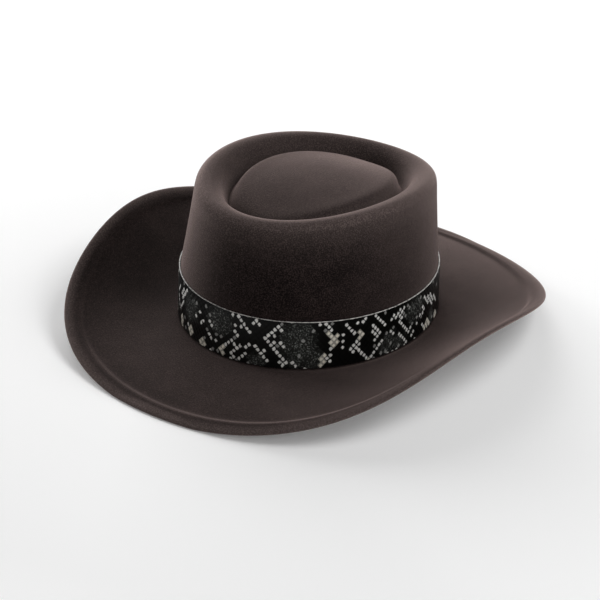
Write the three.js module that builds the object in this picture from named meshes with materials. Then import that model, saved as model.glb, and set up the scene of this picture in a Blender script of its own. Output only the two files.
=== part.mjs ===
// Felt hat with a telescope crown, a wide brim rolled up at the sides, a welted edge and a leather band.
// Millimetres, +Z up. The front of the hat faces -Y and the wearer's left is +X.
// The origin is on the floor, under the middle of the hat, which rests on the front and back of its brim.

import * as THREE from "three";

// Driving dimensions
const FELT = 2.2;
const GAP = 0.3;
const SEGMENTS = 72;

// The break is the fold where the crown meets the brim. Heights of the crown are measured from it.
const BREAK_HEIGHT = 9.1;
const BREAK_RADIUS = 1.5;

// Outer face of the crown wall at its foot and at the top of the band.
const WALL = [
  { height: 0, halfWidth: 83.8, halfLength: 104.0, shift: -0.2 },
  { height: 35, halfWidth: 83.6, halfLength: 100.8, shift: -3.6 },
];

// Crest of the rim round the top of the crown, with its heights at the front, the side and the back.
const CREST = { halfWidth: 67.5, halfLength: 92.6, shift: -2.8, heights: [99.7, 102.6, 91.0] };
const RIM_OUTER_RADIUS = 6.5;
const RIM_INNER_RADIUS = 13;
const RIM_SIDE_ANGLE = 82;

// Moat and shoulder of the raised centre, as distance inside the crest and drop below it at the front,
// at the sides and at the back.
const MOAT = [
  { inset: 12.2, drops: [8.6, 8.6, 8.6] },
  { inset: 14.2, drops: [13.6, 13.6, 13.6] },
  { inset: 16.4, drops: [16.9, 16.4, 16.4] },
  { inset: 18.3, drops: [15.9, 14.6, 14.6] },
  { inset: 19.7, drops: [13.9, 11.2, 11.2] },
  { inset: 21.4, drops: [11.9, 8.1, 7.9] },
  { inset: 24.2, drops: [9.8, 5.9, 5.6] },
];
const CENTRE_HEIGHT = 99.5;
const CENTRE_FULLNESS = 2.2;

// Brim sections at equal steps from the front to the back. Reach is the plan width outside the crown,
// rise is the height of the edge above the break, and belly is how far the section sags between them.
const BRIM = [
  { reach: 79.9, rise: -8.2, belly: -1.5 },
  { reach: 81.0, rise: 1.9, belly: 0.6 },
  { reach: 70.8, rise: 26.2, belly: 4.9 },
  { reach: 66.6, rise: 36.0, belly: 7.0 },
  { reach: 73.0, rise: 18.8, belly: 4.9 },
  { reach: 78.5, rise: -1.2, belly: 0.6 },
  { reach: 80.3, rise: -8.2, belly: -1.5 },
];

// The welt is a strip of felt folded over the edge and sewn down on the upper face.
const WELT_WIDTH = 11.5;
const WELT_HEIGHT = 1.3;
const WELT_STEP = 0.8;

const BAND_FOOT = 0.7;
const BAND_TOP = 35.2;
const BAND_THICKNESS = 1.0;
const BAND_CHAMFER = 0.7;

// Where each row of the surface lies
const CENTRE_ROWS = [0.25, 0.5, 0.75];
const INNER_RIM_ANGLES = [48, 24];
const OUTER_RIM_ANGLES = [0, 30, 58, RIM_SIDE_ANGLE];
const UPPER_WALL_ROWS = [0.35, 0.7];
const LOWER_WALL_HEIGHTS = [35, 18, BREAK_RADIUS];
const BRIM_ROWS = [0.12, 0.26, 0.42, 0.58, 0.74];
const EDGE_ANGLES = [50, 0, -50];
const FLAT_LIMIT = 0.15;

const UP = new THREE.Vector3(0, 0, 1);

// Value at an angle from the front, blended from values at equal steps between the front and the back.
function around(values, phi) {
  const last = values.length - 1;
  const share = (k) => (k === 0 || k === last ? 0.5 : 1);
  let sum = 0;
  for (let k = 0; k <= last; k += 1) {
    let wave = 0;
    for (let j = 0; j <= last; j += 1) {
      wave += share(j) * values[j] * Math.cos((Math.PI * j * k) / last);
    }
    sum += (2 / last) * share(k) * wave * Math.cos(k * phi);
  }
  return sum;
}

// Point outside an ellipse, at a height above the break and a plan distance along its normal.
function outside(ring, phi, distance, height) {
  const normal = new THREE.Vector2(ring.halfLength * Math.sin(phi), -ring.halfWidth * Math.cos(phi));
  normal.setLength(distance);
  return new THREE.Vector3(
    ring.halfWidth * Math.sin(phi) + normal.x,
    ring.shift - ring.halfLength * Math.cos(phi) + normal.y,
    BREAK_HEIGHT + height,
  );
}

function wallPoint(phi, height, distance) {
  const share = height / WALL[1].height;
  const size = (name) => THREE.MathUtils.lerp(WALL[0][name], WALL[1][name], share);
  const ring = { halfWidth: size("halfWidth"), halfLength: size("halfLength"), shift: size("shift") };
  return outside(ring, phi, distance, height);
}

function rimPoint(phi, inset, drop) {
  return outside(CREST, phi, -inset, around(CREST.heights, phi) - drop);
}

// Distance inside the crest and drop below it, along a round rim
function rimArc(radius, degrees) {
  const angle = THREE.MathUtils.degToRad(degrees);
  return [radius * Math.sin(angle), radius * (1 - Math.cos(angle))];
}

// Upper face of the brim. Share runs from 0 at the break to 1 at the edge.
function brimPoint(phi, share) {
  const reach = around(BRIM.map((row) => row.reach), phi);
  const rise = around(BRIM.map((row) => row.rise), phi);
  const belly = around(BRIM.map((row) => row.belly), phi);
  const height = rise * share - 4 * belly * share * (1 - share);
  const lowest = FELT - BREAK_HEIGHT;
  return outside(WALL[0], phi, reach * share, Math.max(height, lowest));
}

// Share of the brim that a distance from the edge takes up, measured along the section.
function edgeShare(phi, distance) {
  const step = 0.01;
  const length = brimPoint(phi, 1).distanceTo(brimPoint(phi, 1 - step)) / step;
  return 1 - distance / length;
}

// Points of the outer face from the centre of the crown out to the edge, without the welt.
function faceSection(phi) {
  const centre = new THREE.Vector3(0, CREST.shift, BREAK_HEIGHT + CENTRE_HEIGHT);
  const moat = MOAT.map((row) => rimPoint(phi, row.inset, around(row.drops, phi)));
  const shoulder = moat[moat.length - 1];
  const points = CENTRE_ROWS.map((share) => {
    const point = centre.clone().lerp(shoulder, share);
    point.z = THREE.MathUtils.lerp(centre.z, shoulder.z, share ** CENTRE_FULLNESS);
    return point;
  });
  points.push(...moat.reverse());
  for (const degrees of INNER_RIM_ANGLES) {
    const [inset, drop] = rimArc(RIM_INNER_RADIUS, degrees);
    points.push(rimPoint(phi, inset, drop));
  }
  for (const degrees of OUTER_RIM_ANGLES) {
    const [spread, drop] = rimArc(RIM_OUTER_RADIUS, degrees);
    points.push(rimPoint(phi, -spread, drop));
  }
  const rimSide = points[points.length - 1];
  const bandTop = wallPoint(phi, WALL[1].height, 0);
  points.push(...UPPER_WALL_ROWS.map((share) => rimSide.clone().lerp(bandTop, share)));
  points.push(...LOWER_WALL_HEIGHTS.map((height) => wallPoint(phi, height, 0)));
  const corner = BREAK_RADIUS * (1 - Math.SQRT1_2);
  points.push(wallPoint(phi, corner, corner));
  points.push(wallPoint(phi, 0, BREAK_RADIUS));
  points.push(...BRIM_ROWS.map((share) => brimPoint(phi, share)));
  const edgeRadius = (FELT + WELT_HEIGHT) / 2;
  const fromEdge = [WELT_WIDTH + WELT_STEP / 2, WELT_WIDTH - WELT_STEP / 2, WELT_WIDTH / 2, edgeRadius];
  points.push(...fromEdge.map((distance) => brimPoint(phi, edgeShare(phi, distance))));
  return points;
}

// Outward normals of a grid of points, one section to a column.
function gridNormals(sections) {
  return sections.map((section, column) => {
    const before = sections[(column + SEGMENTS - 1) % SEGMENTS];
    const after = sections[(column + 1) % SEGMENTS];
    return section.map((point, row) => {
      const along = section[Math.min(row + 1, section.length - 1)].clone().sub(section[Math.max(row - 1, 0)]);
      const across = after[row].clone().sub(before[row]);
      return along.cross(across).normalize();
    });
  });
}

// One closed surface from rings of points that run from a first pole to a last one. A band has no poles
// and closes on itself instead.
function closedSurface(rings, firstPole, lastPole) {
  const positions = rings.flat();
  const index = [];
  const at = (ring, segment) => ring * SEGMENTS + (segment % SEGMENTS);
  const joins = firstPole ? rings.length - 1 : rings.length;
  for (let ring = 0; ring < joins; ring += 1) {
    const next = (ring + 1) % rings.length;
    for (let segment = 0; segment < SEGMENTS; segment += 1) {
      index.push(at(ring, segment), at(next, segment), at(next, segment + 1));
      index.push(at(ring, segment), at(next, segment + 1), at(ring, segment + 1));
    }
  }
  if (firstPole) {
    const first = positions.push(firstPole) - 1;
    const last = positions.push(lastPole) - 1;
    for (let segment = 0; segment < SEGMENTS; segment += 1) {
      index.push(first, at(0, segment), at(0, segment + 1));
      index.push(last, at(rings.length - 1, segment + 1), at(rings.length - 1, segment));
    }
  }
  const geometry = new THREE.BufferGeometry().setFromPoints(positions);
  geometry.setIndex(index);
  geometry.computeVertexNormals();
  return geometry;
}

function angles() {
  return Array.from({ length: SEGMENTS }, (_, segment) => (2 * Math.PI * segment) / SEGMENTS);
}

// Rings of points from sections, one ring for each row.
function ringsOf(sections) {
  return sections[0].map((_, row) => sections.map((section) => section[row]));
}

// Lies flat on the floor where the felt all but touches it.
function settled(point) {
  if (point.z < FLAT_LIMIT) {
    point.z = 0;
  }
  return point;
}

// Crown and brim in one hollow wall of felt
function hatBody() {
  const faces = angles().map(faceSection);
  const normals = gridNormals(faces);
  const last = faces[0].length - 1;
  const sections = faces.map((face, column) => {
    const raised = face.map((point, row) => {
      const onWelt = row > last - 3;
      return point.clone().addScaledVector(normals[column][row], onWelt ? WELT_HEIGHT : 0);
    });
    const normal = normals[column][last];
    const outward = face[last].clone().sub(face[last - 1]).normalize();
    const radius = (FELT + WELT_HEIGHT) / 2;
    const middle = raised[last].clone().addScaledVector(normal, -radius);
    const edge = EDGE_ANGLES.map((degrees) => {
      const angle = THREE.MathUtils.degToRad(degrees);
      const point = middle.clone().addScaledVector(outward, radius * Math.cos(angle));
      return point.addScaledVector(normal, radius * Math.sin(angle));
    });
    const inner = face.map((point, row) => point.clone().addScaledVector(normals[column][row], -FELT));
    return [...raised, ...edge, ...inner.map(settled).reverse()];
  });
  const top = new THREE.Vector3(0, CREST.shift, BREAK_HEIGHT + CENTRE_HEIGHT);
  return closedSurface(ringsOf(sections), top, top.clone().addScaledVector(UP, -FELT));
}

// Leather band, clear of the felt all round
function hatBand() {
  const sections = angles().map((phi) => {
    const inside = GAP;
    const outsideFace = GAP + BAND_THICKNESS;
    const middle = (BAND_FOOT + BAND_TOP) / 2;
    return [
      wallPoint(phi, BAND_TOP, inside),
      wallPoint(phi, BAND_TOP, outsideFace),
      wallPoint(phi, middle, outsideFace),
      wallPoint(phi, BAND_FOOT, outsideFace),
      wallPoint(phi, BAND_FOOT + BAND_CHAMFER, inside),
      wallPoint(phi, middle, inside),
    ];
  });
  return closedSurface(ringsOf(sections));
}

function piece(name, geometry, color, roughness) {
  const mesh = new THREE.Mesh(geometry, new THREE.MeshStandardMaterial({ color, roughness, metalness: 0 }));
  mesh.name = name;
  return mesh;
}

const hat = new THREE.Group();
hat.add(piece("hat_body", hatBody(), 0x3a3230, 0.95));
hat.add(piece("hat_band", hatBand(), 0x2c2b2a, 0.5));

export default hat;
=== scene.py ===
"""Felt hat with a telescope crown, a rolled brim and a leather band with a snakeskin print.

Metres, +Z up. The front of the hat faces -Y and the wearer's left is +X. The hat's own sizes are in
millimetres, and MM brings them to metres. They are those of its solids, apart from the brim's reach at
two places, the welt and the rounded edges of the band.
"""

import math

import bpy
import numpy as np
from mathutils import Matrix, Vector


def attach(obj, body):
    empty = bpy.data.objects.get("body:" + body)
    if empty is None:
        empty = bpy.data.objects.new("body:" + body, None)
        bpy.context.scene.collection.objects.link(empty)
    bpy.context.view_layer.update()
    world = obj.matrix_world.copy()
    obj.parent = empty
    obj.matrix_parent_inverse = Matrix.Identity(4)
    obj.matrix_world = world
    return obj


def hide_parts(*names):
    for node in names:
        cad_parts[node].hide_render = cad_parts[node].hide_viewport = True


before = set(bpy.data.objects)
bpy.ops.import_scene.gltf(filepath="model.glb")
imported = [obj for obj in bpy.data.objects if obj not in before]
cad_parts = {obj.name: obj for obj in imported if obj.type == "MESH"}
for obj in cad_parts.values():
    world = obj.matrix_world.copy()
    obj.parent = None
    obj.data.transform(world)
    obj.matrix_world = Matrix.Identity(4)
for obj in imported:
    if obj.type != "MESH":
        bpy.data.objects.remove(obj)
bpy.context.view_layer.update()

MM = 0.001
SEED = 7

# Crown and brim. A ring is half its width, half its length and the place of its middle along Y.
FELT = 2.2
BREAK_HEIGHT = 9.1
BREAK_RADIUS = 1.5
FOOT_RING = (83.8, 104.0, -0.2)
BAND_RING = (83.6, 100.8, -3.6)
BAND_RING_HEIGHT = 35
CREST_RING = (67.5, 92.6, -2.8)
CREST_HEIGHTS = (99.7, 102.6, 91.0)
RIM_OUTER_RADIUS = 6.5
RIM_INNER_RADIUS = 13
CENTRE_HEIGHT = 99.5
CENTRE_FULLNESS = 2.2

# Moat and shoulder of the raised centre: distance inside the crest, the drop below it at the front, at the
# sides and at the back, and the wear. Here the wear is painted light: a paler felt colour that lifts the
# shade on the moat's slopes and on the shoulder.
MOAT = (
    (12.2, 8.6, 8.6, 8.6, 0.5), (14.2, 13.6, 13.6, 13.6, 0.45), (16.4, 16.9, 16.4, 16.4, 0.2),
    (18.3, 15.9, 14.6, 14.6, 0.5), (19.7, 13.9, 11.2, 11.2, 0.8), (21.4, 11.9, 8.1, 7.9, 0.6),
    (24.2, 9.8, 5.9, 5.6, 0.3),
)

# Rings of the raised centre, as shares of the way from its middle to its shoulder
CENTRE_SHARES = (0.06, 0.25, 0.5, 0.75)

# Rings of the round rim, as degrees from the crest and the wear there, on its inner and its outer side.
# On the inner side the wear is painted light that lifts the moat's shade. On the outer side it is partly
# wear and partly a painted highlight along the rim.
RIM_INNER_TURNS = ((48, 0.45), (24, 0.45))
RIM_OUTER_TURNS = ((0, 0.7), (30, 0.9), (58, 0.8), (82, 0.5))

# Rings of the wall above the band, as shares of the way down from the rim and the wear there, and the
# heights of those behind the band. The wear there is partly wear and partly the rim's painted highlight,
# fading down the wall.
WALL_SHARES = ((0.2, 0.15), (0.45, 0), (0.7, 0))
WALL_HEIGHTS = (BAND_RING_HEIGHT, 18, 2 * BREAK_RADIUS, BREAK_RADIUS)

# Brim at equal steps from the front to the back, and its rings as shares of the way from the break. Its
# fifth and sixth reach are 0.9 and 0.5 more than the solid's, to meet the photograph's edge.
BRIM_REACH = (79.9, 81.0, 70.8, 66.6, 73.9, 79.0, 80.3)
BRIM_RISE = (-8.2, 1.9, 26.2, 36.0, 18.8, -1.2, -8.2)
BRIM_BELLY = (-1.5, 0.6, 4.9, 7.0, 4.9, 0.6, -1.5)
BRIM_SHARES = (0.06, 0.16, 0.3, 0.45, 0.6, 0.74)

# Welt along the edge. It rises over a short step to a ridge and rounds off from there, over the edge and
# to the underside. Its rings are shares of the step, then degrees round the edge and beneath it. The
# solid has a plainer welt, 11.5 wide.
WELT_WIDTH = 14.2
WELT_RIDGE = 9.2
WELT_HEIGHT = 1.3
WELT_FULLNESS = 2.7
WELT_UNDER_ROUND = 3.0
WELT_STEP_SHARES = (0.0, 0.33, 0.66)
WELT_OVER_TURNS = (0, 8, 20, 34, 48, 60, 70, 80, 90)
WELT_UNDER_TURNS = (30, 60, 90)
# Width over which the felt grows paler towards the edge, partly as wear and partly as a painted highlight
EDGE_WEAR_AND_HIGHLIGHT_WIDTH = 7

# Leather band: a closed strip of small scales that stand on their corners. A place on it is given by u,
# the way round from the middle of the front to the wearer's left, and v, the height over the break.
BAND_FOOT = 0.7
BAND_TOP = 35.2
BAND_MIDDLE = 18
BAND_GAP = 0.3
BAND_THICKNESS = 1.0
BAND_EDGE_RADIUS = 0.35
PALE_EDGE = 0.12
HALF_SCALES_ROUND = 284
HALF_SCALE_HEIGHT = 2.35
FIRST_SCALE = (1.8, 0.6)
CELLS_PER_HALF_SCALE = 4
SCALE_RELIEF = 0.16
SCALE_SHOULDER = 0.3
RELIEF_FADE = 1.2
ANGLES_MEASURED = 7200

# The print comes twice round the band. It starts this many half scales from the middle of the front.
PRINT_START = -45
PRINT_PERIOD = HALF_SCALES_ROUND // 2

# Rows of pale scales that go down the band: u and v of the first, lean to the left or right, how many
PALE_ROWS = (
    (-86, 22, 1, 4), (-70, 32, -1, 5), (-58, 27, -1, 3), (-62, 17, 1, 3), (-44, 31, -1, 4), (-47, 29, -1, 3),
    (-51, 21, 1, 2), (-49, 17, -1, 3), (-38, 9, 1, 2), (-23, 26, 1, 1), (-27, 20, 1, 1), (-11.5, 22.5, 1, 2),
    (-19, 17.5, -1, 2), (-13, 14, 1, 2), (-6, 9.5, 1, 1), (-9, 0.6, 1, 1), (6, 34, 1, 1), (10, 33.5, 1, 5),
    (8, 26.5, 1, 1), (11.7, 26.3, 1, 1), (7.5, 21.5, 1, 2), (5.5, 14.5, -1, 3), (7.2, 12.3, 1, 1),
    (11.7, 12.5, -1, 4), (7, 3, -1, 2), (17, 6, -1, 3), (19, 13, -1, 2), (22.5, 13.5, 1, 5), (28, 12, 1, 1),
    (20, 31, 1, 1), (22.5, 31.5, 1, 1), (25.5, 32, 1, 1), (37, 32.5, -1, 5), (31.3, 20.8, 1, 5),
    (35.5, 25.5, 1, 1), (35.7, 21, 1, 1), (31.7, 16.5, 1, 1), (39, 28, 1, 1), (39.5, 21.3, 1, 1),
    (40, 17.3, 1, 1), (38.5, 10, 1, 2), (40.5, 5, 1, 2), (44.5, 4.5, 1, 1), (48.5, 4.3, 1, 2), (56, 1, 1, 1),
    (65, 32.5, 1, 1), (70, 33.5, 1, 2), (74, 29.5, 1, 1), (81, 25, 1, 1), (81, 19, 1, 1), (81.5, 14, 1, 1),
    (73.5, 14, 1, 1), (73.5, 10, -1, 2), (74.5, 5, 1, 1), (83, 32.5, 1, 4), (90.5, 31.5, 1, 1),
    (92.7, 30, 1, 1), (95, 32.3, 1, 1), (97.3, 30.5, 1, 1), (99, 33, 1, 1), (91.3, 15.3, -1, 3),
    (93.5, 13.3, -1, 3), (94, 9, 1, 5), (105.5, 32.5, 1, 5), (105, 27.3, 1, 2), (105, 23.3, 1, 1),
    (107.7, 22, 1, 2), (105.5, 19, 1, 2), (106.7, 14.7, 1, 1), (114, 12.5, -1, 5), (129, 33, 1, 1),
    (130.5, 31.5, -1, 2), (131, 27.5, -1, 2), (132, 23.5, 1, 1), (129, 21, 1, 6), (125, 29, -1, 2),
    (125, 25.5, 1, 1), (120.5, 17.5, 1, 2), (129, 11, 1, 5), (133.5, 29.3, 1, 1), (142.5, 14, 1, 1),
    (149.5, 11.3, 1, 1), (146.5, 6.5, -1, 2), (148, 1.3, 1, 1), (156, 16.5, 1, 1), (159, 16, 1, 1),
    (120, 0.6, 1, 1), (124.5, 0.6, 1, 1), (129, 0.6, 1, 1), (134, 0.6, 1, 1), (158, 8, 1, 2),
    (161, 27, 1, 4), (160, 22.5, 1, 2), (168, 27, 1, 5), (172, 27, 1, 4), (181, 21, 1, 4),
)

# Patches of the print: u and v of the middle, half the width and half the height. A patch's share falls
# from PATCH_LEVEL in its middle by PATCH_FALL for each half size, and is kept between 0 and 1.
PATCH_LEVEL = 2.2
PATCH_FALL = 1.7
CREAM_PATCHES = (
    (-72, 3, 4, 3), (-50, 4, 3.5, 4.5), (-33.5, 4.5, 3, 3.5), (-18.5, 3, 5, 3.2), (-1, 4, 2.8, 3.8),
    (75.5, 21, 3.6, 4.2), (72, 26, 1.8, 2.4), (94.5, 21.5, 2, 4.6), (68, 5.5, 2.4, 5),
    (101.5, 1.5, 2.5, 1.4), (167, 4, 4.5, 3.8), (186, 3, 3, 3),
)
GREY_PATCHES = (
    (-75, 20, 10, 9), (-35, 21, 9, 10), (-5, 25, 10, 9), (24, 4, 6, 5), (51, 18, 11, 17), (62, 8, 6, 9),
    (123, 8, 12, 8), (148, 24, 11, 9), (175, 8, 5, 6),
)
BLACK_PATCHES = (
    (-60, 8, 7, 8), (-28, 11, 6, 4), (12, 8, 4, 4), (24, 20, 5, 8), (33, 10, 4, 7), (86.5, 19, 4, 11),
    (100.5, 17, 4, 13), (132, 16, 8, 6), (153, 5, 4, 5), (117, 26, 4, 6), (178, 24, 4, 8),
)

# Stray scales beside the charted ones: those above this tone are this pale, where the print is less black
# than this
STRAY_TONE = 0.93
STRAY_PALENESS = 0.3
STRAY_BLACK = 0.3

# Fineness of the felt's mesh, and how the inner face follows the outer one: it is this much coarser and
# does without the last rings of it
FELT_COLUMNS = 360
FINE_STEPS = 4
INNER_COARSER = 2
INNER_WITHOUT = 7


def around(values, phi):
    """Value at angles from the front, blended from values at equal steps between front and back."""
    last = len(values) - 1
    share = [0.5 if k in (0, last) else 1.0 for k in range(last + 1)]
    total = np.zeros_like(phi)
    for k in range(last + 1):
        wave = sum(share[j] * values[j] * math.cos(math.pi * j * k / last) for j in range(last + 1))
        total += 2 / last * share[k] * wave * np.cos(k * phi)
    return total


def outside(ring, phi, distance, height):
    """Points outside a ring, at a plan distance along its normal and a height above the break."""
    half_width, half_length, shift = ring
    normal = np.stack([half_length * np.sin(phi), -half_width * np.cos(phi)])
    normal *= distance / np.linalg.norm(normal, axis=0)
    x = half_width * np.sin(phi) + normal[0]
    y = shift - half_length * np.cos(phi) + normal[1]
    return np.stack(np.broadcast_arrays(x, y, BREAK_HEIGHT + height), axis=-1)


def wall(phi, height, distance=0.0):
    """Points of the crown's wall up to the top of the band."""
    share = height / BAND_RING_HEIGHT
    ring = [foot + (top - foot) * share for foot, top in zip(FOOT_RING, BAND_RING)]
    return outside(ring, phi, distance, height)


def rim(phi, inset, drop):
    """Points inside the crest and below it."""
    return outside(CREST_RING, phi, -inset, around(CREST_HEIGHTS, phi) - drop)


def rim_arc(phi, radius, degrees):
    """Points of a round rim. A negative radius goes outwards from the crest."""
    angle = math.radians(degrees)
    return rim(phi, radius * math.sin(angle), abs(radius) * (1 - math.cos(angle)))


def brim(phi, share):
    """Upper face of the brim. Share runs from 0 at the break to 1 at the edge."""
    height = around(BRIM_RISE, phi) * share - 4 * around(BRIM_BELLY, phi) * share * (1 - share)
    height = np.maximum(height, FELT - BREAK_HEIGHT)
    return outside(FOOT_RING, phi, around(BRIM_REACH, phi) * share, height)


def edge_share(phi, distance):
    """Share of the brim that lies inside a distance from its edge."""
    step = 0.01
    last_stretch = brim(phi, np.ones_like(phi)) - brim(phi, np.full_like(phi, 1 - step))
    return 1 - distance * step / np.linalg.norm(last_stretch, axis=-1)


def ease(t):
    """Soft way from 0 to 1."""
    return 3 * t**2 - 2 * t**3


def smooth(rows):
    """Rows along one smooth curve through all the given rows, with FINE_STEPS from one to the next."""
    padded = np.concatenate([2 * rows[:1] - rows[1:2], rows, 2 * rows[-1:] - rows[-2:-1]])
    gaps = np.sqrt(np.linalg.norm(np.diff(padded, axis=0), axis=-1, keepdims=True))
    fine = []
    for i in range(len(rows) - 1):
        before, start, end, after = padded[i:i + 4]
        first, span, last = gaps[i:i + 3]
        leave = ((start - before) / first - (end - before) / (first + span) + (end - start) / span) * span
        arrive = ((end - start) / span - (after - start) / (span + last) + (after - end) / last) * span
        for step in range(FINE_STEPS):
            t = step / FINE_STEPS
            fine.append(
                (2 * t**3 - 3 * t**2 + 1) * start + (t**3 - 2 * t**2 + t) * leave
                + ease(t) * end + (t**3 - t**2) * arrive
            )
    return np.array(fine + [rows[-1]])


def grid_normals(rows):
    """Outward normals of rings of points that go from the middle of the crown to the edge."""
    along = np.gradient(rows, axis=0)
    across = np.roll(rows, -1, axis=1) - np.roll(rows, 1, axis=1)
    normals = np.cross(along, across)
    return normals / np.linalg.norm(normals, axis=-1, keepdims=True)


def felt_face(phi):
    """Outer face of the felt, as rings of points from the middle of the crown to the foot of the welt.

    With each ring goes its wear, from 0 to 1 where the felt is palest: partly wear from rubbing, partly
    painted light on the rim, in the moat and on the shoulder of the raised centre.
    """
    centre = np.array([0, CREST_RING[2], BREAK_HEIGHT + CENTRE_HEIGHT])
    moat = [(wear, rim(phi, inset, around(drops, phi))) for inset, *drops, wear in MOAT]
    shoulder = moat[-1][1]
    rows = []
    for share in CENTRE_SHARES:
        ring = centre + (shoulder - centre) * share
        ring[:, 2] = centre[2] + (shoulder[:, 2] - centre[2]) * share**CENTRE_FULLNESS
        rows.append((MOAT[-1][-1] * share**2, ring))
    rows += reversed(moat)
    rows += [(wear, rim_arc(phi, RIM_INNER_RADIUS, degrees)) for degrees, wear in RIM_INNER_TURNS]
    rows += [(wear, rim_arc(phi, -RIM_OUTER_RADIUS, degrees)) for degrees, wear in RIM_OUTER_TURNS]
    rim_side = rows[-1][1]
    band_top = wall(phi, BAND_RING_HEIGHT)
    rows += [(wear, rim_side + (band_top - rim_side) * share) for share, wear in WALL_SHARES]
    rows += [(0, wall(phi, height)) for height in WALL_HEIGHTS]
    corner = BREAK_RADIUS * (1 - math.sqrt(0.5))
    rows += [(0, wall(phi, corner, corner)), (0, wall(phi, 0, BREAK_RADIUS))]
    rows += [(0, brim(phi, np.full_like(phi, share))) for share in BRIM_SHARES]
    wear, rings = zip(*rows)
    return np.array(rings), wear


def welt_profile():
    """Distance from the edge and height over the brim, from the foot of the welt round to its underside."""
    step = [
        (WELT_WIDTH + (WELT_RIDGE - WELT_WIDTH) * t, WELT_HEIGHT * ease(t)) for t in WELT_STEP_SHARES
    ]
    middle = -FELT / 2
    power = 2 / WELT_FULLNESS
    over = [
        (WELT_RIDGE * (1 - math.sin(turn)**power), middle + (WELT_HEIGHT - middle) * math.cos(turn)**power)
        for turn in np.radians(WELT_OVER_TURNS)
    ]
    under = [
        (WELT_UNDER_ROUND * (1 - math.cos(turn)), middle + (middle + FELT) * -math.sin(turn))
        for turn in np.radians(WELT_UNDER_TURNS)
    ]
    return step + over + under


def felt_rings(phi):
    """All rings of the felt, and their wear, which is partly painted light: the outer face, the welt round
    the edge and the inner face.
    """
    face, wear = felt_face(phi)
    profile = welt_profile()
    flat = np.array([brim(phi, edge_share(phi, distance)) for distance, _ in profile])
    first_under = len(profile) - len(WELT_UNDER_TURNS)
    upper = np.concatenate([face, flat[:first_under]])
    normals = grid_normals(upper)
    lift = np.array([0.0] * len(face) + [height for _, height in profile[:first_under]])
    outer = upper + normals * lift[:, None, None]
    under_lift = [height for _, height in profile[first_under:]]
    under = [ring + normals[-1] * height for ring, height in zip(flat[first_under:], under_lift)]
    fine = smooth(np.concatenate([outer, under]))
    inner = smooth(upper[:-INNER_WITHOUT])[::INNER_COARSER]
    inner = inner - FELT * grid_normals(inner)
    # Near the edge the felt is painted paler, partly as wear and partly as a painted highlight
    wear = list(wear) + [max(0, 1 - distance / EDGE_WEAR_AND_HIGHLIGHT_WIDTH) for distance, _ in profile]
    fine_wear_and_painted_light = np.interp(np.arange(len(fine)) / FINE_STEPS, np.arange(len(wear)), wear)
    return np.concatenate([fine, inner[::-1]]), np.concatenate([fine_wear_and_painted_light, np.zeros(len(inner))])


def ring_faces(rings, columns):
    """Quads between rings of points that run round the hat."""
    ring = np.arange(rings - 1)[:, None]
    column = np.arange(columns)[None, :]
    following = (ring + 1) * columns
    beside = (column + 1) % columns
    quads = np.stack([
        ring * columns + column, following + column, following + beside, ring * columns + beside,
    ], axis=-1)
    return quads.reshape(-1, 4).tolist()


def mesh_object(name, points, faces):
    """Smooth-shaded mesh object, from points in millimetres."""
    mesh = bpy.data.meshes.new(name)
    mesh.from_pydata((points * MM).tolist(), [], faces)
    mesh.shade_smooth()
    mesh.update()
    piece = bpy.data.objects.new(name, mesh)
    bpy.context.scene.collection.objects.link(piece)
    return piece


def add_attribute(piece, name, domain, values):
    """A number on each point or face of a piece, for its material."""
    attribute = piece.data.attributes.new(name, "FLOAT", domain)
    attribute.data.foreach_set("value", np.asarray(values, dtype=np.float32))


def felt_piece():
    """Crown and brim of felt, in one piece."""
    phi = np.arange(FELT_COLUMNS) * 2 * math.pi / FELT_COLUMNS
    rings, wear = felt_rings(phi)
    points = rings.reshape(-1, 3)
    top = [0, CREST_RING[2], BREAK_HEIGHT + CENTRE_HEIGHT]
    under = [top[0], top[1], top[2] - FELT]
    points = np.concatenate([points, [top, under]])
    faces = ring_faces(len(rings), FELT_COLUMNS)
    first, last = len(points) - 2, len(points) - 1
    final_ring = (len(rings) - 1) * FELT_COLUMNS
    for column in range(FELT_COLUMNS):
        beside = (column + 1) % FELT_COLUMNS
        faces.append((first, column, beside))
        faces.append((last, final_ring + beside, final_ring + column))
    piece = mesh_object("felt_hat", points, faces)
    # The wear also carries painted light: paler felt in the moat, along the rim and near the edge
    add_attribute(piece, "wear", "POINT", np.append(np.repeat(wear, FELT_COLUMNS), [0, 0]))
    piece.data.materials.append(felt_material())
    return piece


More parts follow.
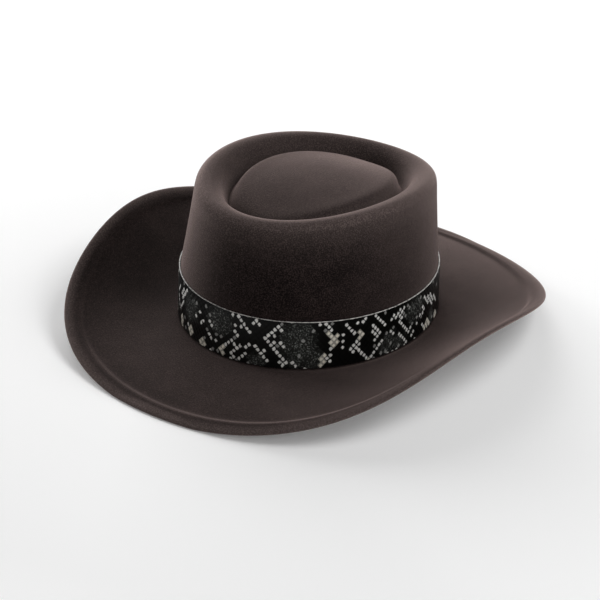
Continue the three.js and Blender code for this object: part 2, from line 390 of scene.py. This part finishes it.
class Nodes:
    """A material's node tree, with short calls for the nodes that the materials use."""

    # Places of the colour sockets among the mix node's sockets for numbers, vectors and colours
    COLOR_MIX_INPUTS = (0, 6, 7)
    COLOR_MIX_OUTPUT = 2

    def __init__(self, name):
        self.material = bpy.data.materials.new(name)
        self.material.use_nodes = True
        self.tree = self.material.node_tree
        self.shader = self.tree.nodes["Principled BSDF"]
        self.place = self.add("ShaderNodeTexCoord").outputs["Object"]

    def add(self, kind, inputs=None, **settings):
        node = self.tree.nodes.new(kind)
        for key, value in settings.items():
            setattr(node, key, value)
        for key, value in (inputs or {}).items():
            self.put(value, node.inputs[key])
        return node

    def put(self, value, socket):
        if isinstance(value, bpy.types.NodeSocket):
            self.tree.links.new(value, socket)
        else:
            socket.default_value = value

    def math(self, operation, *values, clamp=False):
        node = self.add("ShaderNodeMath", operation=operation, use_clamp=clamp)
        for value, socket in zip(values, node.inputs):
            self.put(value, socket)
        return node.outputs[0]

    def noise(self, scale, detail, roughness):
        inputs = {"Scale": scale, "Detail": detail, "Roughness": roughness, "Vector": self.place}
        return self.add("ShaderNodeTexNoise", inputs).outputs["Fac"]

    def attribute(self, name):
        return self.add("ShaderNodeAttribute", attribute_name=name).outputs["Fac"]

    def ramp(self, value, low, high, start=0.0, end=1.0):
        node = self.add(
            "ShaderNodeMapRange",
            {"Value": value, "From Min": low, "From Max": high, "To Min": start, "To Max": end},
        )
        return node.outputs["Result"]

    def mix(self, factor, first, second):
        node = self.add("ShaderNodeMix", data_type="RGBA")
        for value, index in zip((factor, first, second), self.COLOR_MIX_INPUTS):
            self.put(value, node.inputs[index])
        return node.outputs[self.COLOR_MIX_OUTPUT]

    def bump(self, height, strength, distance, normal=None):
        inputs = {"Height": height, "Strength": strength, "Distance": distance * MM}
        if normal is not None:
            inputs["Normal"] = normal
        return self.add("ShaderNodeBump", inputs).outputs["Normal"]

    def set(self, **values):
        for key, value in values.items():
            self.put(value, self.shader.inputs[key.replace("_", " ")])


# Noises of the felt: scale for each metre, detail and roughness
FELT_CLOUD = (45, 4, 0.6)
FELT_SPECK = (1250, 2, 0.7)
FELT_NAP = (850, 2, 0.7)
FELT_FIBRE = (2200, 3, 0.75)

# Colours of the felt's darkest and palest fibres, of felt paled by wear and by painted light, and of the
# nap's sheen
FELT_DARK = (0.003, 0.0021, 0.002, 1)
FELT_PALE = (0.042, 0.029, 0.027, 1)
FELT_WORN_AND_PAINTED_LIGHT = (0.14, 0.107, 0.1, 1)
FELT_SHEEN = (0.62, 0.475, 0.445, 1)


def felt_material():
    """Dark brown wool felt: a fine speckle of fibres, and a soft nap that lights up at grazing angles."""
    nodes = Nodes("felt")
    cloud = nodes.ramp(nodes.noise(*FELT_CLOUD), 0.3, 0.7, -0.15, 0.15)
    speck = nodes.ramp(nodes.noise(*FELT_SPECK), 0.44, 0.72)
    color = nodes.mix(nodes.math("ADD", speck, cloud, clamp=True), FELT_DARK, FELT_PALE)
    # Paler felt where the wear is high: partly wear, partly painted light on the rim, in the moat and near
    # the edge
    rubbed_and_painted_light = nodes.math("MULTIPLY", nodes.attribute("wear"), nodes.ramp(speck, 0, 1, 0.4, 1.0))
    color = nodes.mix(rubbed_and_painted_light, color, FELT_WORN_AND_PAINTED_LIGHT)
    nap = nodes.bump(nodes.noise(*FELT_NAP), strength=0.35, distance=0.3)
    fibres = nodes.bump(nodes.noise(*FELT_FIBRE), strength=0.5, distance=0.2, normal=nap)
    nodes.set(
        Base_Color=color, Roughness=0.95, Specular_IOR_Level=0.05, Sheen_Weight=0.75,
        Sheen_Roughness=0.4, Sheen_Tint=FELT_SHEEN, Normal=fibres,
    )
    return nodes.material


def band_columns():
    """Angles from the front of the band's columns of points, and the width of a half scale."""
    phi = np.linspace(0, 2 * math.pi, ANGLES_MEASURED + 1)
    line = wall(phi, (BAND_FOOT + BAND_TOP) / 2, BAND_GAP + BAND_THICKNESS)
    way = np.concatenate([[0], np.cumsum(np.linalg.norm(np.diff(line, axis=0), axis=-1))])
    columns = HALF_SCALES_ROUND * CELLS_PER_HALF_SCALE
    places = FIRST_SCALE[0] + np.arange(columns) * way[-1] / columns
    return np.interp(places % way[-1], way, phi), way[-1] / HALF_SCALES_ROUND


def scale_at(x, y):
    """The scale that a place lies on, and how near to its border, from 0 in its middle to 0.5.

    A place and a scale are both given in half scales, round and up the band from the first scale.
    """
    rising, falling = (x + y) / 2, (x - y) / 2
    a, b = np.round(rising), np.round(falling)
    border = ((rising - a)**4 + (falling - b)**4)**0.25
    return (a + b).astype(int), (a - b).astype(int), border


def charted_scales(half_width):
    """Steps round and up the band of every pale scale in the chart."""
    pale = set()
    for u, v, lean, count in PALE_ROWS:
        x = np.array((u - FIRST_SCALE[0]) / half_width)
        y = np.array((v - FIRST_SCALE[1]) / HALF_SCALE_HEIGHT)
        i, j, _ = scale_at(x, y)
        pale.update((int(i) + lean * n, int(j) - n) for n in range(count))
    return pale


def patch_share(patches, u, v):
    """1 inside the patches and 0 outside, with a soft border."""
    share = np.zeros_like(u)
    for middle_u, middle_v, half_width, half_height in patches:
        reach = np.hypot((u - middle_u) / half_width, (v - middle_v) / half_height)
        share = np.maximum(share, np.clip(PATCH_LEVEL - PATCH_FALL * reach, 0, 1))
    return share


def band_print(i, j, half_width):
    """The print on each scale, from its steps round and up the band, as shares from 0 to 1."""
    tallest = round(BAND_TOP / HALF_SCALE_HEIGHT) + 1
    chart = np.zeros((PRINT_PERIOD, tallest + 1))
    for step, height in charted_scales(half_width):
        if 0 <= height <= tallest:
            chart[(step - PRINT_START) % PRINT_PERIOD, height] = 1
    draw = np.random.default_rng(SEED).random((HALF_SCALES_ROUND, tallest + 1))
    column = (i - PRINT_START) % PRINT_PERIOD
    height = np.clip(j, 0, tallest)
    u = FIRST_SCALE[0] + (column + PRINT_START) * half_width
    v = FIRST_SCALE[1] + j * HALF_SCALE_HEIGHT
    tone = draw[i % HALF_SCALES_ROUND, height]
    black = patch_share(BLACK_PATCHES, u, v)
    cream = patch_share(CREAM_PATCHES, u, v) > 0.5
    stray = (tone > STRAY_TONE) & (black < STRAY_BLACK)
    pale = np.maximum(chart[column, height], STRAY_PALENESS * stray)
    return {
        "pale": np.where(cream, 1.0, pale),
        "cream": cream * 1.0,
        "grey": patch_share(GREY_PATCHES, u, v) * (1 - black),
        "tone": tone,
    }


def band_profile():
    """Rings of the band, from its inner face over the top and down the scales to the foot.

    Each is a height, a distance from the wall and a share of the scales' relief.
    """
    outer = BAND_GAP + BAND_THICKNESS
    cell = HALF_SCALE_HEIGHT / CELLS_PER_HALF_SCALE
    corner = outer - BAND_EDGE_RADIUS
    turns = np.radians((90, 60, 30, 0))
    over = [(BAND_EDGE_RADIUS * (1 - math.sin(t)), corner + BAND_EDGE_RADIUS * math.cos(t)) for t in turns]
    rows = [(height, BAND_GAP, 0.0) for height in (BAND_FOOT, BAND_MIDDLE, BAND_TOP)]
    rows += [(BAND_TOP - depth, distance, 0.0) for depth, distance in over]
    top_cell = math.floor((BAND_TOP - BAND_EDGE_RADIUS - FIRST_SCALE[1]) / cell)
    foot_cell = math.ceil((BAND_FOOT + BAND_EDGE_RADIUS - FIRST_SCALE[1]) / cell)
    for n in range(top_cell, foot_cell - 1, -1):
        height = FIRST_SCALE[1] + n * cell
        from_edge = min(BAND_TOP - height, height - BAND_FOOT) - BAND_EDGE_RADIUS
        rows.append((height, outer, min(1.0, from_edge / RELIEF_FADE)))
    rows += [(BAND_FOOT + depth, distance, 0.0) for depth, distance in reversed(over)]
    return rows


def band_piece():
    """Leather band round the foot of the crown, in small triangles that part along the scales' borders."""
    phi, half_width = band_columns()
    columns = len(phi)
    fine = CELLS_PER_HALF_SCALE
    profile = band_profile()
    up = [round((height - FIRST_SCALE[1]) / HALF_SCALE_HEIGHT * fine) for height, _, _ in profile]
    rings, borders = [], []
    for (height, distance, relief), step in zip(profile, up):
        _, _, border = scale_at(np.arange(columns) / fine, np.full(columns, step / fine))
        sunk = np.clip((border - SCALE_SHOULDER) / (0.5 - SCALE_SHOULDER), 0, 1)**2
        rings.append(wall(phi, height, distance - relief * SCALE_RELIEF * sunk))
        borders.append(border)

    faces, middles = [], []
    for ring, step in enumerate(up):
        below = (ring + 1) % len(profile)
        for column in range(columns):
            beside = (column + 1) % columns
            cell = (
                (ring * columns + column, column, step),
                (below * columns + column, column, up[below]),
                (below * columns + beside, column + 1, up[below]),
                (ring * columns + beside, column + 1, step),
            )
            border_falls = (column + up[below]) % fine == fine - 1
            splits = ((0, 1, 2), (0, 2, 3)) if border_falls else ((0, 1, 3), (1, 2, 3))
            for split in splits:
                faces.append([cell[corner][0] for corner in split])
                middles.append([sum(cell[corner][axis] for corner in split) / 3 / fine for axis in (1, 2)])

    piece = mesh_object("leather_band", np.concatenate(rings), faces)
    x, y = np.array(middles).T
    i, j, _ = scale_at(x, y)
    add_attribute(piece, "border", "POINT", np.concatenate(borders))
    for name, values in band_print(i, j, half_width).items():
        add_attribute(piece, name, "FACE", values)
    piece.data.materials.append(band_material())
    return piece


# Noises of the leather: scale for each metre, detail and roughness
LEATHER_RAGGED = (520, 2, 0.6)
LEATHER_SPECK = (900, 2, 0.7)
LEATHER_WEAR = (620, 3, 0.7)
LEATHER_EDGE = (450, 2, 0.7)
LEATHER_GRAIN = (2600, 3, 0.6)
LEATHER_GLOSS = (300, 2, 0.5)

# Colours of the print and of the leather's cut edge
PRINT_BLACK = (0.0022, 0.0022, 0.0018, 1)
PRINT_GREY = (0.28, 0.29, 0.27, 1)
PRINT_PALE = (0.93, 0.92, 0.88, 1)
PRINT_CREAM = (0.95, 0.9, 0.78, 1)
CUT_EDGE = (0.7, 0.68, 0.65, 1)


def band_material():
    """Snakeskin print on leather: pale, cream and speckled grey scales on black, with black gaps between."""
    nodes = Nodes("band_leather")
    pale, cream, grey, tone = [nodes.attribute(name) for name in ("pale", "cream", "grey", "tone")]
    ragged = nodes.ramp(nodes.noise(*LEATHER_RAGGED), 0.3, 0.7, -0.06, 0.17)
    inside = nodes.ramp(nodes.math("ADD", nodes.attribute("border"), ragged), 0.36, 0.46, 1.0, 0.0)
    speck = nodes.ramp(nodes.noise(*LEATHER_SPECK), 0.53, 0.66)
    wear = nodes.ramp(nodes.noise(*LEATHER_WEAR), 0.35, 0.65, 0.8, 1.0)

    grey_share = nodes.math("MULTIPLY", grey, nodes.ramp(speck, 0, 1, 0.07, 1.0))
    grey_share = nodes.math("MULTIPLY", grey_share, nodes.ramp(tone, 0, 1, 0.35, 1.0))
    color = nodes.mix(grey_share, PRINT_BLACK, PRINT_GREY)

    filled = nodes.math("MAXIMUM", inside, nodes.math("MULTIPLY", cream, 0.45))
    pale_share = nodes.math("MULTIPLY", pale, filled)
    pale_share = nodes.math("MULTIPLY", pale_share, nodes.ramp(tone, 0, 1, 0.85, 1.0))
    pale_share = nodes.math("MULTIPLY", pale_share, wear)
    color = nodes.mix(pale_share, color, nodes.mix(cream, PRINT_PALE, PRINT_CREAM))

    height = nodes.add("ShaderNodeSeparateXYZ", {"Vector": nodes.place}).outputs["Z"]
    top = (BREAK_HEIGHT + BAND_TOP) * MM
    cut = nodes.ramp(height, top - PALE_EDGE * MM, top - 0.8 * PALE_EDGE * MM)
    cut = nodes.math("MULTIPLY", cut, nodes.ramp(nodes.noise(*LEATHER_EDGE), 0.38, 0.55, 0.3, 1.0))
    color = nodes.mix(cut, color, CUT_EDGE)

    grain = nodes.bump(nodes.noise(*LEATHER_GRAIN), strength=0.15, distance=0.1)
    roughness = nodes.ramp(nodes.noise(*LEATHER_GLOSS), 0.3, 0.7, 0.34, 0.48)
    nodes.set(Base_Color=color, Roughness=roughness, Specular_IOR_Level=0.2, Normal=grain)
    return nodes.material


# Camera, fitted to the view in the photograph, in degrees and millimetres
CAMERA_AZIMUTH = 31.52
CAMERA_ELEVATION = 27.1
CAMERA_ROLL = 4.49
CAMERA_DISTANCE = 1307.0
CAMERA_TARGET = (-6.18, -4.06, 9.68)
FOCAL_LENGTH = 111.7
SENSOR_WIDTH = 36.0


def back_direction(azimuth, elevation):
    """Direction from the hat to a camera or light at an azimuth from the front and an elevation."""
    a, e = math.radians(azimuth), math.radians(elevation)
    return Vector((math.sin(a) * math.cos(e), -math.cos(a) * math.cos(e), math.sin(e)))


def looking_along(back, roll=0.0):
    """Rotation of a camera or light whose back points along the given direction."""
    return back.to_track_quat("Z", "Y").to_matrix().to_4x4() @ Matrix.Rotation(math.radians(roll), 4, "Z")


def add_camera():
    data = bpy.data.cameras.new("camera")
    data.sensor_width = SENSOR_WIDTH
    data.lens = FOCAL_LENGTH
    camera = bpy.data.objects.new("camera", data)
    bpy.context.scene.collection.objects.link(camera)
    back = back_direction(CAMERA_AZIMUTH, CAMERA_ELEVATION)
    place = Vector(CAMERA_TARGET) * MM + back * CAMERA_DISTANCE * MM
    camera.matrix_world = Matrix.Translation(place) @ looking_along(back, CAMERA_ROLL)
    bpy.context.scene.camera = camera


# Soft square lights: azimuth and elevation in degrees, power in watts. They all have the same distance,
# size and aim, in metres.
LIGHTS = {
    "low_back": (-135, 10, 6),
    "low_left": (-90, 10, 22),
    "back": (-135, 30, 11),
    "high_back": (120, 55, 14),
    "right": (75, 20, 5.6),
    "front": (30, 40, 2.8),
}
LIGHT_DISTANCE = 1.6
LIGHT_SIZE = 1.0
AIM = (0, 0, 0.05)
WORLD_STRENGTH = 0.01


def add_lights():
    for name, (azimuth, elevation, power) in LIGHTS.items():
        data = bpy.data.lights.new(name, "AREA")
        data.size = LIGHT_SIZE
        data.energy = power
        lamp = bpy.data.objects.new(name, data)
        bpy.context.scene.collection.objects.link(lamp)
        back = back_direction(azimuth, elevation)
        place = Vector(AIM) + back * LIGHT_DISTANCE
        lamp.matrix_world = Matrix.Translation(place) @ looking_along(back)
    world = bpy.data.worlds.new("studio")
    world.use_nodes = True
    background = world.node_tree.nodes["Background"]
    background.inputs["Color"].default_value = (1, 1, 1, 1)
    background.inputs["Strength"].default_value = WORLD_STRENGTH
    bpy.context.scene.world = world


# A light table, in metres. It glows a little round the hat, and more further out. Each glow is a distance
# from the hat's middle and the strength there.
FLOOR_SIZE = 12.0
NEAR_GLOW = (0.35, 0.12)
FAR_GLOW = (1.4, 0.8)


def add_floor():
    half = FLOOR_SIZE / 2 / MM
    corners = np.array([(-half, -half, 0), (half, -half, 0), (half, half, 0), (-half, half, 0)])
    floor = mesh_object("floor", corners, [(0, 1, 2, 3)])
    nodes = Nodes("floor")
    length = nodes.add("ShaderNodeVectorMath", {"Vector": nodes.place}, operation="LENGTH")
    near, near_strength = NEAR_GLOW
    far, far_strength = FAR_GLOW
    glow = nodes.ramp(length.outputs["Value"], near, far, near_strength, far_strength)
    nodes.set(
        Base_Color=(0.9, 0.9, 0.9, 1), Roughness=0.9, Emission_Color=(1, 1, 1, 1), Emission_Strength=glow,
    )
    floor.data.materials.append(nodes.material)


bpy.context.scene.view_settings.view_transform = "Standard"
add_camera()
add_lights()
add_floor()

felt = felt_piece()
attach(felt, "root")
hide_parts("hat_body")

band = band_piece()
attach(band, "root")
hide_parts("hat_band")
